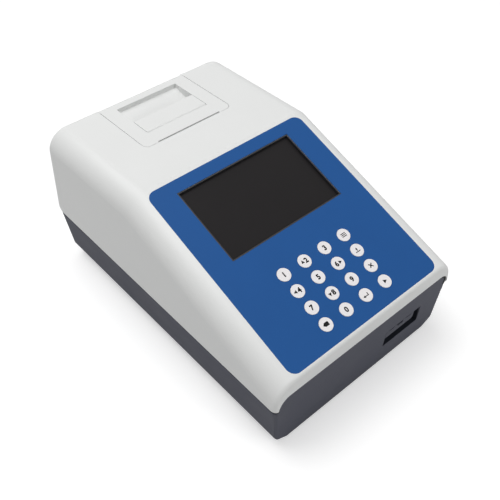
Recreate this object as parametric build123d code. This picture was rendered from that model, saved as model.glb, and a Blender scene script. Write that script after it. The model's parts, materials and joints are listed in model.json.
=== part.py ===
from build123d import *
import math
import os

# Desktop urine analyzer: a pale moulded cover over a dark tub, a printer under a hinged door,
# a sloped keypad and display, and a strip tray that runs out of the front.
# Millimetres. Origin at the middle of the footprint, on the surface it stands on.
# X to the right, Y to the back, Z up.

# ---- case -------------------------------------------------------------------------------------
foot_height = 3.0
foot_radius = 7.0
case_width = 178.0
case_length = 275.0
case_height = 131.0          # tub underside to the flat top
cover_height = 85.5          # flat top to the cover's lower edge
slope_length = 165.75        # sloped face, from the flat top's edge to the front end
slope_angle = 20.9
side_draft = 1.0
back_lean = 8.4
wall = 2.5
side_radius = 18.0
back_radius = 4.0            # also the radius of the door's hinge knuckle
lower_front_radius = 6.0
lower_rear_radius = 8.0
lip_height = 12.0            # front lip of the cover, over the dark front panel
arch_radius = 10.0
arch_side_wall = 3.0
seam = 0.3

# ---- tub --------------------------------------------------------------------------------------
tub_inset = 1.0
tub_rear_inset = 3.0
panel_inset = 0.8            # front panel behind the cover's lip
tub_side_draft = 3.75
panel_lean = 4.25
tub_back_draft = 6.4
bevel_height = 8.5           # long bevel along each side of the underside, blended at both ends
bevel_side = 14.0
bevel_upper_blend = 10.0
bevel_lower_blend = 6.0
tub_edge_radius = 1.5        # front and back edges of the underside
tub_corner_radius = 3.0
bevel_blend_step = 0.05
boss_radius = 4.5
screw_radius = 1.5
screw_head_radius = 2.9
screw_head_height = 2.0
counterbore_depth = 26.0
case_screw_x = 66.0
case_screw_front = 26.0      # from the front end of the case
case_screw_back = 30.0
screw_hold = 10.0            # length of a case screw inside the cover's boss
foot_from_side = 31.0
foot_from_front = 36.0
foot_from_back = 38.0
foot_edge_radius = 0.8
panel_foot = 6.0             # front panel reaches this far below the cover's lower edge

# ---- overlay, display and keys, measured on the slope from the break line -----------------------
overlay_width = 145.0
overlay_start = 3.2
overlay_end = 163.4
overlay_radius = 7.0
overlay_thickness = 0.5
window_width = 105.2
window_start = 13.4
window_end = 77.4
bezel_wall = 1.0
bezel_drop = 0.3
lens_margin = 2.0
lens_thickness = 1.2
module_margin = 3.5
module_depth = 4.4
board_thickness = 1.6
display_board_margin = 9.0
display_board_overlap = 2.0
display_chip_width = 18.0
display_chip_length = 14.0
display_chip_start = 20.0    # from the window's upper edge
display_chip_height = 2.0
key_diameter = 10.3
key_pitch_x = 19.5
key_pitch_s = 14.7
key_first_s = 104.6
key_rows = 4
key_columns = 4
key_proud = 0.2
key_gap = 0.15
key_flange_extra = 0.8
key_flange_thickness = 0.8
key_stem_radius = 2.5
key_stem_length = 1.0
key_travel = 0.4
dome_radius = 3.2
dome_height = 0.5
keypad_margin = 10.0
board_boss_radius = 2.6

# ---- printer door, lever and printer -----------------------------------------------------------
door_width = 82.5
door_gap = 0.3
knuckle_cover = 1.5          # back wall stops this far below the hinge axis
door_length = 64.8           # hinge axis to the door's front edge
door_thickness = 2.5
door_corner_radius = 5.0
slot_width = 58.8
slot_depth = 1.3
recess_width = 57.4
recess_start = 16.0          # from the door's front edge
recess_end = 58.3
lever_length = 19.0
lever_thickness = 2.0
lever_gap = 0.4
lever_nose = 2.0
lever_shaft_radius = 1.0
pocket_wall = 1.5
pocket_back_depth = 3.6
pocket_front_depth = 9.9
hinge_pin_radius = 1.5
hinge_pin_reach = 3.3        # past each side of the door bay
hinge_ear_width = 4.5
hinge_ear_drop = 8.8
running_gap = 0.05
platen_radius = 5.0
platen_shaft_radius = 2.0
platen_depth = 11.0          # axis below the flat top
platen_behind_slot = 6.1
paper_width = 57.0
paper_radius = 24.0
paper_core_radius = 6.0
paper_depth = 43.9
paper_from_door = 41.0       # roll axis behind the door's front edge
bin_gap = 1.2
bin_wall = 2.0
bin_top_depth = 14.0
bin_bottom_depth = 72.0
arm_gap = 0.7
arm_thickness = 2.0
arm_radius = 4.2
arm_corner_radius = 2.5
hook_gap = 0.8
hook_thickness = 2.0
hook_length = 18.0
hook_depth = 2.2
hook_room_front = 1.8        # slot in the door round each hook, from the lever's shaft
hook_room_back = 3.2
stud_radius = 1.5
gear_module = 0.8
gear_teeth = 15
gear_width = 2.8
gear_gap = 1.0
gear_centre_play = 0.12
pressure_angle = 20.0
tooth_play = 0.14
motor_size = 18.0
motor_length = 14.0
motor_chamfer = 2.5
motor_gap = 0.6
motor_shaft_length = 7.0
printer_boss_radius = 4.0
printer_boss_offset = 18.0   # beside the paper bin
printer_boss_front = 3.0     # in front of the roll's axis
printer_boss_back = 17.0
printer_ear_margin = 4.5
head_thickness = 6.0
head_height = 22.0
head_gap = 0.3
head_tilt = 8.0
head_drop = 3.0
head_foot = 2.0
head_shelf_margin = 3.0

# ---- strip tray --------------------------------------------------------------------------------
tray_centre_x = 38.05
tray_width = 30.7
tray_height = 7.0
tray_bottom = 31.0           # above the tub's underside
tray_plate_thickness = 3.0
tray_corner_radius = 2.0
tray_gap = 0.4
tray_length = 138.0
tray_body_inset = 1.6
tray_body_step = 0.3
channel_width = 6.2
channel_depth = 2.4
channel_end = 6.0            # wall left at the tray's inner end
tray_rim_drop = 0.2
gutter_width = 5.4
gutter_depth = 0.8
gutter_offset = 9.2
slot_below_tray = 9.8
slot_beside_tray = 7.6
tunnel_wall = 2.0
tunnel_depth = 6.0
carrier_width = 24.0
carrier_thickness = 3.7
carrier_setback = 28.0
carrier_length = 118.0
rack_module = 1.0
pinion_teeth = 14
pinion_setback = 53.0
rack_teeth = 28
bed_thickness = 3.2
bed_length = 148.0
bed_setback = 20.0
bed_rib_width = 4.0
bed_rib_height = 1.6
bed_post = 6.0
bed_side = 2.6
bed_middle_leg = 66.0        # from the bed's front end
bed_front_leg = 10.0
slide_gap = 0.3
tray_motor_radius = 12.0
motor_shaft_radius = 1.5
motor_shaft_lift = 12.0      # lower end of the shaft above the tub's floor
optic_from_end = 52.7        # head's front face, from the tray's inner end
optic_length = 36.0
optic_height = 24.0
optic_gap = 1.2
optic_chamfer = 4.0
optic_leg = 2.2
optic_leg_length = 16.0
optic_lens_radius = 4.0
optic_lens_lift = 0.2
optic_lens_thickness = 1.4
optic_bore_depth = 6.0
tile_size = 8.0
tile_thickness = 0.6

# ---- rear connectors and main board -------------------------------------------------------------
port_drop = 12.5             # port axes below the cover's lower edge
switch_x = -58.0
inlet_x = -30.0
serial_x = 8.0
usb_x = 46.0
flange_thickness = 1.4
port_fit = 0.2
switch_flange_length = 21.0
switch_flange_height = 15.0
switch_length = 19.0
switch_height = 13.0
switch_depth = 13.0
switch_pivot_depth = 4.2     # rocker axis below the outer face of the back wall
rocker_radius = 7.0
rocker_height = 9.6
rocker_width = 15.0
rocker_flat = 2.0            # cut off the rocker's round underside
rocker_face = 6.1            # shaved faces above the axis
rocker_slant = 10.0
rocker_tip = 8.0             # to each side of its middle
inlet_flange_radius = 6.6
inlet_radius = 5.4
inlet_depth = 12.0
inlet_bore_radius = 2.8
inlet_bore_depth = 10.0
inlet_pin_radius = 1.0
inlet_pin_length = 8.0
serial_flange_length = 31.0
serial_flange_height = 12.6
serial_length = 19.2
serial_height = 10.8
serial_depth = 10.0
serial_shell_length = 17.0
serial_shell_height = 8.6
serial_shell_proud = 4.0
serial_shell_wall = 0.5
serial_set_in = 4.0
serial_pins = 9
serial_pin_pitch = 2.77
serial_pin_rows = 2.8
serial_pin_radius = 0.5
serial_pin_length = 3.2
usb_length = 12.0
usb_height = 11.0
usb_depth = 16.0
usb_proud = 0.4
usb_opening_length = 8.6
usb_opening_height = 7.9
usb_opening_depth = 8.4
usb_tongue_length = 5.6
usb_tongue_height = 3.2
main_board_width = 78.0
main_board_length = 130.0
main_board_x = -31.0
main_board_from_back = 47.8  # board's back edge, from the case's back
standoff_height = 6.5
standoff_radius = 3.0
standoff_inset = 4.0
component_margin = 9.0
processor_size = 24.0
processor_height = 2.0
relay_width = 10.0
relay_length = 18.0
relay_height = 3.0
relay_from_front = 25.0
header_length = 24.0
header_width = 6.0
header_height = 8.0
header_from_front = 13.0
capacitor_radius = 5.0
capacitor_height = 12.0
capacitor_pitch = 13.0
capacitor_from_back = 19.0
capacitors = 3

# ---- places worked out from the sizes ------------------------------------------------------------
bottom_z = foot_height
top_z = bottom_z + case_height
split_z = top_z - cover_height
front_y = -case_length / 2
lean = math.radians(back_lean)
back_low_y = case_length / 2 + lower_rear_radius * (math.tan(lean) + 1 / math.cos(lean) - 1)
back_top_y = back_low_y - cover_height * math.tan(lean)
slope_cos = math.cos(math.radians(slope_angle))
slope_sin = math.sin(math.radians(slope_angle))
break_y = front_y + slope_length * slope_cos
lip_top_z = top_z - slope_length * slope_sin
lip_low_z = lip_top_z - lip_height
half_width = case_width / 2
floor_z = bottom_z + wall
hinge_y = back_top_y - back_radius
hinge_z = top_z - back_radius
door_front_y = hinge_y - door_length
slope_plane = Plane(origin=(0, break_y, top_z), x_dir=(1, 0, 0), z_dir=(0, -slope_sin, slope_cos))
far = 400.0                  # reaches past the whole case
through = 20.0               # reaches past a wall


def panel_y(z):
    """Outer face of the dark front panel, which leans back towards the bottom."""
    return front_y + panel_inset + (lip_low_z - z) * math.tan(math.radians(panel_lean))


def tub_back_y(z):
    """Outer face of the tub's back wall."""
    return back_low_y - tub_rear_inset - (split_z - z) * math.tan(math.radians(tub_back_draft))


def box(x0, x1, y0, y1, z0, z1):
    """A box between its limits."""
    return Pos((x0 + x1) / 2, (y0 + y1) / 2, (z0 + z1) / 2) * Box(x1 - x0, y1 - y0, z1 - z0)


def post(x, y, z0, z1, radius):
    """An upright cylinder between two heights."""
    return Pos(x, y, (z0 + z1) / 2) * Cylinder(radius, z1 - z0)


def bar(x0, x1, y, z, radius):
    """A cylinder along X between two stations."""
    return Pos((x0 + x1) / 2, y, z) * Rot(0, 90, 0) * Cylinder(radius, x1 - x0)


def side_prism(points, x0, x1):
    """A solid with its outline drawn in side view, Y and Z, between two X stations."""
    face = Plane.YZ.offset(x0) * Polygon(*points, align=None)
    return extrude(face, amount=x1 - x0, dir=(1, 0, 0))


def edges_where(shape, test):
    """The edges whose middle point and direction pass a test."""
    return [e for e in shape.edges() if test(e.position_at(0.5), e.tangent_at(0.5))]


def save(shape, name):
    """Write one piece."""
    if isinstance(shape, (list, ShapeList)):
        shape = Compound(children=list(shape))
    shape.label = name
    export_step(shape, f"parts/{name}.step")


# ---- cover --------------------------------------------------------------------------------------
def cover_block(inset):
    """The cover's outer body, or its hollow when it is inset by the wall."""
    low = split_z if inset == 0 else split_z - far / 4
    outline = Polygon(
        (front_y, low), (back_low_y + (split_z - low) * math.tan(lean), low), (back_top_y, top_z),
        (break_y, top_z), (front_y, lip_top_z), align=None)
    if inset == 0:
        front_low = outline.vertices().sort_by_distance((front_y, low))[0]
        outline = fillet(front_low, lower_front_radius)
        rear_low = outline.vertices().sort_by_distance((back_low_y, low))[0]
        outline = fillet(rear_low, lower_rear_radius)
    else:
        outline = offset(outline, amount=-inset, kind=Kind.INTERSECTION)
    lengthwise = extrude(Plane.YZ * outline, amount=far / 2, both=True)
    low_half = half_width - inset + (split_z - low) * math.tan(math.radians(side_draft))
    top_half = half_width - inset - cover_height * math.tan(math.radians(side_draft))
    cross = Polygon((-low_half, low), (low_half, low), (top_half, top_z), (-top_half, top_z), align=None)
    crosswise = extrude(Plane.XZ * cross, amount=far / 2, both=True)
    block = lengthwise & crosswise
    shoulders = edges_where(
        block, lambda p, t: abs(p.X) > half_width / 2 and abs(t.Y) > 0.8 and p.Z > lip_low_z)
    block = fillet(shoulders, side_radius - inset)
    if inset == 0:
        ridge = edges_where(
            block, lambda p, t: p.Y > back_top_y - 1 and p.Z > top_z - side_radius and abs(t.Z) < 0.95)
        block = fillet(ridge, back_radius)
    return block


def build_cover():
    """The pale top cover, with its door bay, window, key holes and bosses."""
    outer = cover_block(0)
    hollow = cover_block(wall)
    cover = outer - hollow
    arch_half = half_width - arch_side_wall
    arch = Pos(0, 0, (lip_low_z - far / 4) / 2 + lip_low_z / 2) * extrude(
        Plane.XZ * RectangleRounded(2 * arch_half, far / 4, arch_radius), amount=far, both=True)
    arch = Pos(0, 0, lip_low_z - arch.bounding_box().max.Z) * arch
    cover -= arch & box(-far, far, front_y - 1, front_y + wall + 0.5, 0, top_z)
    bay_half = door_width / 2 + door_gap
    cover -= box(-bay_half, bay_half, door_front_y - door_gap, hinge_y,
                 top_z - 2 * back_radius - door_gap, top_z + 1)
    cover -= box(-bay_half, bay_half, hinge_y, back_low_y, hinge_z - knuckle_cover, top_z + 1)
    cover -= bar(-bay_half, bay_half, hinge_y, hinge_z, back_radius + door_gap)
    pocket = overlay_solid(overlay_thickness)
    cover -= pocket
    cover -= window_prism(0, through)
    for x, s in key_places():
        cover -= on_slope(x, s, -through / 2, 0, key_diameter / 2 + key_gap + 0.1)
    bosses = [on_slope(x, s, -drop, -wall + 0.01, board_boss_radius) for x, s, drop in board_bosses()]
    for boss in bosses:
        cover += boss
    for x, y in printer_bosses():
        cover += post(x, y, printer_ear_top, top_z - wall + 0.01, printer_boss_radius)
    for side in (-1, 1):
        near = side * bay_half
        away = side * (bay_half + hinge_ear_width)
        ear = box(min(near, away), max(near, away), back_top_y - hinge_ear_drop, back_top_y - 1.2,
                  top_z - hinge_ear_drop, top_z - wall + 0.01)
        cover += ear & hollow
    bore_reach = bay_half + hinge_pin_reach + 0.2
    cover -= bar(-bore_reach, bore_reach, hinge_y, hinge_z, hinge_pin_radius + 0.02)
    for x, y in case_screws():
        column = post(x, y, split_z, top_z, boss_radius) & hollow
        cover += column
        cover -= post(x, y, split_z - 1, split_z + screw_hold + 2, screw_radius + 0.04)
    return cover


def overlay_solid(thickness):
    """The keypad overlay's outline as a plate let into the slope."""
    length = overlay_end - overlay_start
    middle = (overlay_start + overlay_end) / 2
    plate = extrude(RectangleRounded(overlay_width, length, overlay_radius), amount=thickness)
    return slope_plane.location * Pos(0, -middle, -thickness) * plate


def window_prism(grow, depth, top=1.0):
    """A prism through the display window, square to the slope."""
    length = window_end - window_start + 2 * grow
    middle = (window_start + window_end) / 2
    prism = Box(window_width + 2 * grow, length, depth + top)
    return slope_plane.location * Pos(0, -middle, (top - depth) / 2) * prism


def slab(x_half, s0, s1, z0, z1):
    """A plate parallel to the slope, between two stations down it."""
    plate = Box(2 * x_half, s1 - s0, z1 - z0)
    return slope_plane.location * Pos(0, -(s0 + s1) / 2, (z0 + z1) / 2) * plate


def on_slope(x, s, z0, z1, radius):
    """A cylinder square to the slope."""
    return slope_plane.location * Pos(x, -s, (z0 + z1) / 2) * Cylinder(radius, z1 - z0)


def key_places():
    """Middle of each key: across, and down the slope."""
    first = -key_pitch_x * (key_columns - 1) / 2
    return [(first + column * key_pitch_x, key_first_s + row * key_pitch_s)
            for row in range(key_rows) for column in range(key_columns)]


key_flange_top = wall + slide_gap
key_flange_low = key_flange_top + key_flange_thickness
key_stem_low = key_flange_low + key_stem_length
dome_top = key_stem_low + key_travel + 0.1
keypad_board_top = dome_top + dome_height
keypad_half = key_pitch_x * (key_columns - 1) / 2 + keypad_margin
keypad_start = key_first_s - keypad_margin
keypad_end = key_first_s + key_pitch_s * (key_rows - 1) + keypad_margin
module_half = window_width / 2 + module_margin
display_board_top = wall + lens_thickness + module_depth
display_half = window_width / 2 + display_board_margin


def board_bosses():
    """Bosses under the slope: across, down the slope, and how deep they reach."""
    inset = board_boss_radius
    display = [(side * (display_half - inset), s, display_board_top)
               for side in (-1, 1) for s in (window_start + inset, window_end - inset)]
    keypad = [(side * (keypad_half - inset), s, keypad_board_top)
              for side in (-1, 1) for s in (keypad_start + inset, keypad_end - inset)]
    return display + keypad


def case_screws():
    """The four screws that hold the cover on the tub."""
    return [(side * case_screw_x, y) for side in (-1, 1)
            for y in (front_y + case_screw_front, back_low_y - case_screw_back)]


# ---- overlay, display and keys --------------------------------------------------------------------
def build_overlay():
    """Printed sheet with the window and the key holes."""
    sheet = overlay_solid(overlay_thickness) - window_prism(0, through)
    for x, s in key_places():
        sheet -= on_slope(x, s, -through / 2, 1, key_diameter / 2 + key_gap)
    return sheet


def build_bezel():
    """Dark frame lining the window."""
    frame = window_prism(-0.1, wall, -bezel_drop)
    return frame - window_prism(-bezel_wall, through)


def build_lens():
    """Clear sheet behind the window."""
    return slab(window_width / 2 + lens_margin, window_start - lens_margin, window_end + lens_margin,
                -wall - lens_thickness, -wall)


def build_module():
    """Display panel in its metal frame."""
    low = -display_board_top
    high = -wall - lens_thickness
    body = slab(module_half, window_start - module_margin, window_end + module_margin, low, high)
    step = slab(window_width / 2 - 1, window_start + 1, window_end - 1, high - 0.4, high)
    return body - step


def build_display_board():
    """Driver board on its four bosses."""
    low = -display_board_top - board_thickness
    board = slab(display_half, window_start - display_board_overlap, window_end + display_board_overlap, low,
                 -display_board_top)
    chip_start = window_start + display_chip_start
    chip = slab(display_chip_width / 2, chip_start, chip_start + display_chip_length,
                low - display_chip_height, low)
    return board + chip


def build_keypad_board():
    """Switch board under the keys, with a dome for each."""
    board = slab(keypad_half, keypad_start, keypad_end, -keypad_board_top - board_thickness,
                 -keypad_board_top)
    for x, s in key_places():
        board += on_slope(x, s, -keypad_board_top - 0.01, -dome_top, dome_radius)
    return board


def build_key(x, s):
    """One round key: cap, flange and stem."""
    cap = on_slope(x, s, -key_flange_low, key_proud, key_diameter / 2)
    cap = fillet(cap.edges().sort_by(Axis.Z)[-1], 0.15)
    flange = on_slope(x, s, -key_flange_low, -key_flange_top, key_diameter / 2 + key_flange_extra)
    stem = on_slope(x, s, -key_stem_low, -key_flange_low + 0.01, key_stem_radius)
    return cap + flange + stem


# ---- printer --------------------------------------------------------------------------------------
platen_y = door_front_y + slot_depth + platen_behind_slot
platen_z = top_z - platen_depth
bin_half = paper_width / 2 + 1.0
bin_outer_half = bin_half + bin_wall
arm_inner = bin_outer_half + arm_gap
arm_outer = arm_inner + arm_thickness
hook_inner = arm_outer + hook_gap
hook_outer = hook_inner + hook_thickness
gear_inner = hook_outer + gear_gap
gear_outer = gear_inner + gear_width
paper_y = door_front_y + paper_from_door
paper_z = top_z - paper_depth
bin_radius = paper_radius + bin_gap
bin_centre_z = paper_z + bin_gap - slide_gap
bin_front_y = paper_y - bin_radius - bin_wall
bin_back_y = paper_y + bin_radius + bin_wall
bin_top_z = top_z - bin_top_depth
printer_ear_top = top_z - bin_top_depth - 0.5
ear_thickness = 3.0
printer_boss_x = bin_outer_half + printer_boss_offset
lever_y = door_front_y + recess_start + lever_nose
lever_z = top_z - lever_nose
drive_gear_z = platen_z - gear_module * gear_teeth - gear_centre_play
stud_y = lever_y - stud_radius - slide_gap
stud_z = bin_top_z - 2.5 * stud_radius
shelf_top_z = drive_gear_z - motor_size / 2
shelf_thickness = 3.0
head_floor = platen_z - head_height / 2 - head_drop


def printer_bosses():
    """Where the printer frame hangs from the cover."""
    return [(side * printer_boss_x, y) for side in (-1, 1)
            for y in (paper_y - printer_boss_front, paper_y + printer_boss_back)]


def gear_outline(module, teeth, turn):
    """A spur gear's outline: involute flanks between root and tip."""
    pitch_r = module * teeth / 2
    base_r = pitch_r * math.cos(math.radians(pressure_angle))
    tip_r = pitch_r + module
    root_r = pitch_r - 1.25 * module
    inv = math.tan(math.radians(pressure_angle)) - math.radians(pressure_angle)
    half_tooth = (math.pi * module / 2 - tooth_play) / (2 * pitch_r)
    steps = 4
    points = []
    for k in range(teeth):
        middle = 2 * math.pi * k / teeth + turn
        flank = []
        for i in range(steps + 1):
            r = max(base_r, root_r) + (tip_r - max(base_r, root_r)) * i / steps
            alpha = math.acos(min(1.0, base_r / r))
            flank.append((r, half_tooth + inv - (math.tan(alpha) - alpha)))
        flank.insert(0, (root_r, flank[0][1]))
        for r, a in flank:
            points.append((r * math.cos(middle - a), r * math.sin(middle - a)))
        for r, a in reversed(flank):
            points.append((r * math.cos(middle + a), r * math.sin(middle + a)))
    return points


def gear_on_x(y, z, x0, x1, turn):
    """A gear with its axis along X."""
    face = Plane.YZ.offset(x0) * Pos(y, z) * Polygon(*gear_outline(gear_module, gear_teeth, turn), align=None)
    return extrude(face, amount=x1 - x0, dir=(1, 0, 0))


def build_door():
    """Printer door: plate, hinge knuckle, lever pocket and platen arms."""
    half = door_width / 2
    start = door_front_y
    plate = box(-half, half, start, hinge_y, top_z - door_thickness, top_z)
    corners = edges_where(plate, lambda p, t: abs(t.Z) > 0.9 and p.Y < start + 1)
    plate = fillet(corners, door_corner_radius)
    door = plate + bar(-half, half, hinge_y, hinge_z, back_radius)
    door -= box(-slot_width / 2, slot_width / 2, start - 1, start + slot_depth, 0, far)
    pocket_half = recess_width / 2
    y0 = start + recess_start
    y1 = start + recess_end
    lip_y = y0 + lever_length

    def pocket_outline(grow):
        low = top_z - pocket_front_depth - grow
        return [(y0 - lever_gap - grow, low), (lip_y, low), (y1 + grow, top_z - pocket_back_depth - grow),
                (y1 + grow, top_z + (1 if grow == 0 else -0.5)),
                (y0 - lever_gap - grow, top_z + (1 if grow == 0 else -0.5))]

    door += side_prism(pocket_outline(pocket_wall), -pocket_half - pocket_wall, pocket_half + pocket_wall)
    door -= side_prism(pocket_outline(0), -pocket_half - lever_gap / 2, pocket_half + lever_gap / 2)
    for side in (-1, 1):
        a, b = sorted((side * arm_inner, side * arm_outer))
        arm = box(a, b, platen_y - arm_radius, platen_y + arm_radius, platen_z - arm_radius, top_z - 0.5)
        lower = edges_where(arm, lambda p, t: abs(t.X) > 0.9 and p.Z < platen_z)
        door += fillet(lower, arm_corner_radius)
        a, b = sorted((side * (pocket_half + pocket_wall), side * (hook_outer + slide_gap)))
        door -= box(a, b, lever_y - hook_room_front, lever_y + hook_room_back, top_z - through, top_z - 0.8)
    reach = gear_outer + 1
    door -= bar(-reach, reach, platen_y, platen_z, platen_shaft_radius + running_gap)
    door -= bar(-pocket_half - pocket_wall - 1, pocket_half + pocket_wall + 1, lever_y, lever_z,
                lever_shaft_radius + running_gap)
    door -= bar(-far, far, hinge_y, hinge_z, hinge_pin_radius + running_gap)
    return door


def build_lever():
    """Door release: a flush plate on a cross shaft, with a catch hook at each end."""
    half = recess_width / 2 - lever_gap / 2
    tip_y = door_front_y + recess_start + lever_length
    plate = box(-half, half, lever_y, tip_y, top_z - lever_thickness, top_z)
    tips = edges_where(plate, lambda p, t: abs(t.X) > 0.9 and p.Y > lever_y + 1 and p.Z < top_z - 1)
    plate = chamfer(tips, 0.8)
    lever = plate + bar(-half, half, lever_y, lever_z, lever_nose)
    lever += bar(-hook_outer, hook_outer, lever_y, lever_z, lever_shaft_radius)
    for side in (-1, 1):
        a, b = sorted((side * hook_inner, side * hook_outer))
        lever += box(a, b, lever_y, lever_y + hook_depth, lever_z - hook_length, lever_z)
    return lever


def build_hinge_pin():
    """Steel pin of the door hinge."""
    reach = door_width / 2 + door_gap + hinge_pin_reach
    return bar(-reach, reach, hinge_y, hinge_z, hinge_pin_radius)


def build_platen():
    """Rubber roller on its shaft, with the driven gear."""
    shaft = bar(-arm_outer - 0.8, gear_outer, platen_y, platen_z, platen_shaft_radius)
    roller = bar(-paper_width / 2, paper_width / 2, platen_y, platen_z, platen_radius)
    gear = gear_on_x(platen_y, platen_z, gear_inner, gear_outer, -math.pi / 2)
    return [roller - shaft, shaft + gear]


def build_drive_gear():
    """Motor gear under the driven gear, on its own short shaft."""
    turn = math.pi / 2 + math.pi / gear_teeth
    gear = gear_on_x(platen_y, drive_gear_z, gear_inner, gear_outer, turn)
    shaft_end = gear_outer + motor_shaft_length
    return gear + bar(gear_outer - 0.01, shaft_end, platen_y, drive_gear_z, motor_shaft_radius)


def build_printer_motor():
    """Square motor on the frame's shelf."""
    x0 = gear_outer + motor_gap
    y0 = platen_y - motor_size / 2
    body = box(x0, x0 + motor_length, y0, y0 + motor_size, shelf_top_z, shelf_top_z + motor_size)
    body = chamfer(edges_where(body, lambda p, t: abs(t.X) > 0.9), motor_chamfer)
    bore_end = gear_outer + motor_shaft_length + 1
    return body - bar(x0 - 1, bore_end, platen_y, drive_gear_z, motor_shaft_radius + running_gap)


def build_printer_frame():
    """Paper bin with the head shelf, hanging ears, latch studs and motor shelf."""
    low = top_z - bin_bottom_depth
    frame = box(-bin_outer_half, bin_outer_half, bin_front_y, bin_back_y, low, bin_top_z)
    hollow = bar(-bin_half, bin_half, paper_y, bin_centre_z, bin_radius)
    hollow += box(-bin_half, bin_half, paper_y - bin_radius, paper_y + bin_radius, bin_centre_z, far)
    frame -= hollow
    shelf_y = platen_y - platen_radius - head_thickness - head_shelf_margin
    frame += box(-bin_outer_half, bin_outer_half, shelf_y, bin_front_y + 0.01, head_floor - shelf_thickness,
                 head_floor)
    for side in (-1, 1):
        a, b = sorted((side * (bin_outer_half - 0.01), side * (printer_boss_x + printer_ear_margin)))
        frame += box(a, b, paper_y - printer_boss_front - printer_ear_margin,
                     paper_y + printer_boss_back + printer_ear_margin, printer_ear_top - ear_thickness,
                     printer_ear_top)
        a, b = sorted((side * (bin_outer_half - 0.01), side * (hook_outer + 0.2)))
        frame += bar(a, b, stud_y, stud_z, stud_radius)
    motor_y = platen_y - motor_size / 2
    frame += box(bin_outer_half - 0.01, gear_outer + motor_gap + motor_length, motor_y, motor_y + motor_size,
                 shelf_top_z - shelf_thickness, shelf_top_z)
    for x, y in printer_bosses():
        frame -= post(x, y, printer_ear_top - through, printer_ear_top + 1, screw_radius + 0.2)
    return frame


def build_print_head():
    """Thermal head block, leaning away from the platen above its line of contact."""
    touch_y = platen_y - platen_radius - head_gap
    slant = math.tan(math.radians(head_tilt))
    low_y = touch_y + (platen_z - head_floor) * slant * 0.3
    high_z = head_floor + head_height
    high_y = touch_y - (high_z - platen_z) * slant
    outline = [(low_y, head_floor), (touch_y - 0.2, platen_z), (high_y - 0.2, high_z),
               (high_y - head_thickness, high_z), (touch_y - head_thickness - head_foot, head_floor)]
    return side_prism(outline, -bin_half, bin_half)


def build_paper_roll():
    """Roll of thermal paper on its core."""
    half = paper_width / 2
    core = bar(-far, far, paper_y, paper_z, paper_core_radius)
    return bar(-half, half, paper_y, paper_z, paper_radius) - core


def build_printer_screws():
    """Screws up through the frame's ears into the cover's bosses."""
    screws = []
    for x, y in printer_bosses():
        low = printer_ear_top - ear_thickness
        head = post(x, y, low - screw_head_height, low, screw_head_radius)
        screws.append(head + post(x, y, low, printer_ear_top, screw_radius))
    return screws


# ---- tub --------------------------------------------------------------------------------------------
def blended(points, blends):
    """A closed outline with some of its corners rounded."""
    outline = Polygon(*points, align=None)
    for corner, radius in blends:
        vertex = outline.vertices().sort_by_distance(corner)[0]
        outline = fillet(vertex, radius)
    return outline


def tub_block(inset):
    """The tub's outer body, or its hollow when it is inset by the wall."""
    rise = 0 if inset == 0 else far / 10
    tan_side = math.tan(math.radians(tub_side_draft))
    top_x = half_width - tub_inset + rise * tan_side
    bevel_x = top_x - (split_z + rise - bottom_z - bevel_height) * tan_side
    foot_x = bevel_x - bevel_height * tan_side
    right = [(top_x, split_z + rise), (bevel_x, bottom_z + bevel_height), (bevel_x - bevel_side, bottom_z)]
    if inset == 0:
        right = [(x + bevel_blend_step, z) for x, z in right]
    left = [(-x, z) for x, z in reversed(right)]
    cross = blended(right + left, [(right[1], bevel_upper_blend), (left[1], bevel_upper_blend),
                                   (right[2], bevel_lower_blend), (left[0], bevel_lower_blend)])
    front = [(panel_y(split_z + rise), split_z + rise), (panel_y(bottom_z), bottom_z)]
    back = [(tub_back_y(bottom_z), bottom_z), (tub_back_y(split_z + rise), split_z + rise)]
    along = blended(front + back, [(front[1], tub_edge_radius), (back[0], tub_edge_radius)])
    if inset > 0:
        cross = offset(cross, amount=-inset, kind=Kind.INTERSECTION)
        along = offset(along, amount=-inset, kind=Kind.INTERSECTION)
    lengthwise = extrude(Plane.YZ * along, amount=far / 2, both=True)
    crosswise = extrude(Plane.XZ * cross, amount=far / 2, both=True)
    if inset > 0:
        return lengthwise & crosswise
    across = Polygon((-top_x, split_z), (top_x, split_z), (foot_x, bottom_z), (-foot_x, bottom_z), align=None)
    walls = extrude(Plane.XZ * across, amount=far / 2, both=True) & extrude(
        Plane.YZ * Polygon(*(front + back), align=None), amount=far / 2, both=True)
    walls = fillet(edges_where(walls, lambda p, t: abs(t.Z) > 0.9), tub_corner_radius)
    return walls & lengthwise & crosswise


def front_panel():
    """Raised part of the tub's front, which fills the arch under the cover's lip."""
    top = lip_low_z - seam
    half = half_width - arch_side_wall - seam
    low = split_z - panel_foot
    plate = side_prism([(panel_y(low), low), (panel_y(top), top), (panel_y(top) + wall, top),
                        (panel_y(low) + wall, low)], -half, half)
    shape = RectangleRounded(2 * half, far / 4, arch_radius - seam)
    stencil = extrude(Plane.XZ * shape, amount=far, both=True)
    stencil = Pos(0, 0, top - stencil.bounding_box().max.Z) * stencil
    return plate & stencil


slot_x0 = tray_centre_x - tray_width / 2 - tray_gap
slot_x1 = tray_centre_x + tray_width / 2 + slot_beside_tray
tray_low_z = bottom_z + tray_bottom
tray_high_z = tray_low_z + tray_height
slot_z0 = tray_low_z - slot_below_tray
slot_z1 = tray_high_z + tray_gap
tray_front_y = panel_y(tray_low_z + tray_height / 2)
rear_tilt = math.radians(tub_back_draft)
port_z = split_z - port_drop
rear_plane = Plane(origin=(0, tub_back_y(port_z), port_z), x_dir=(-1, 0, 0),
                   z_dir=(0, math.cos(rear_tilt), -math.sin(rear_tilt)))


def on_rear(x, shape, up=0.0, out=0.0):
    """Place a shape on the back wall, drawn flat with +Z pointing out of it."""
    return rear_plane.location * Pos(-x, up, out) * shape


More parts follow.
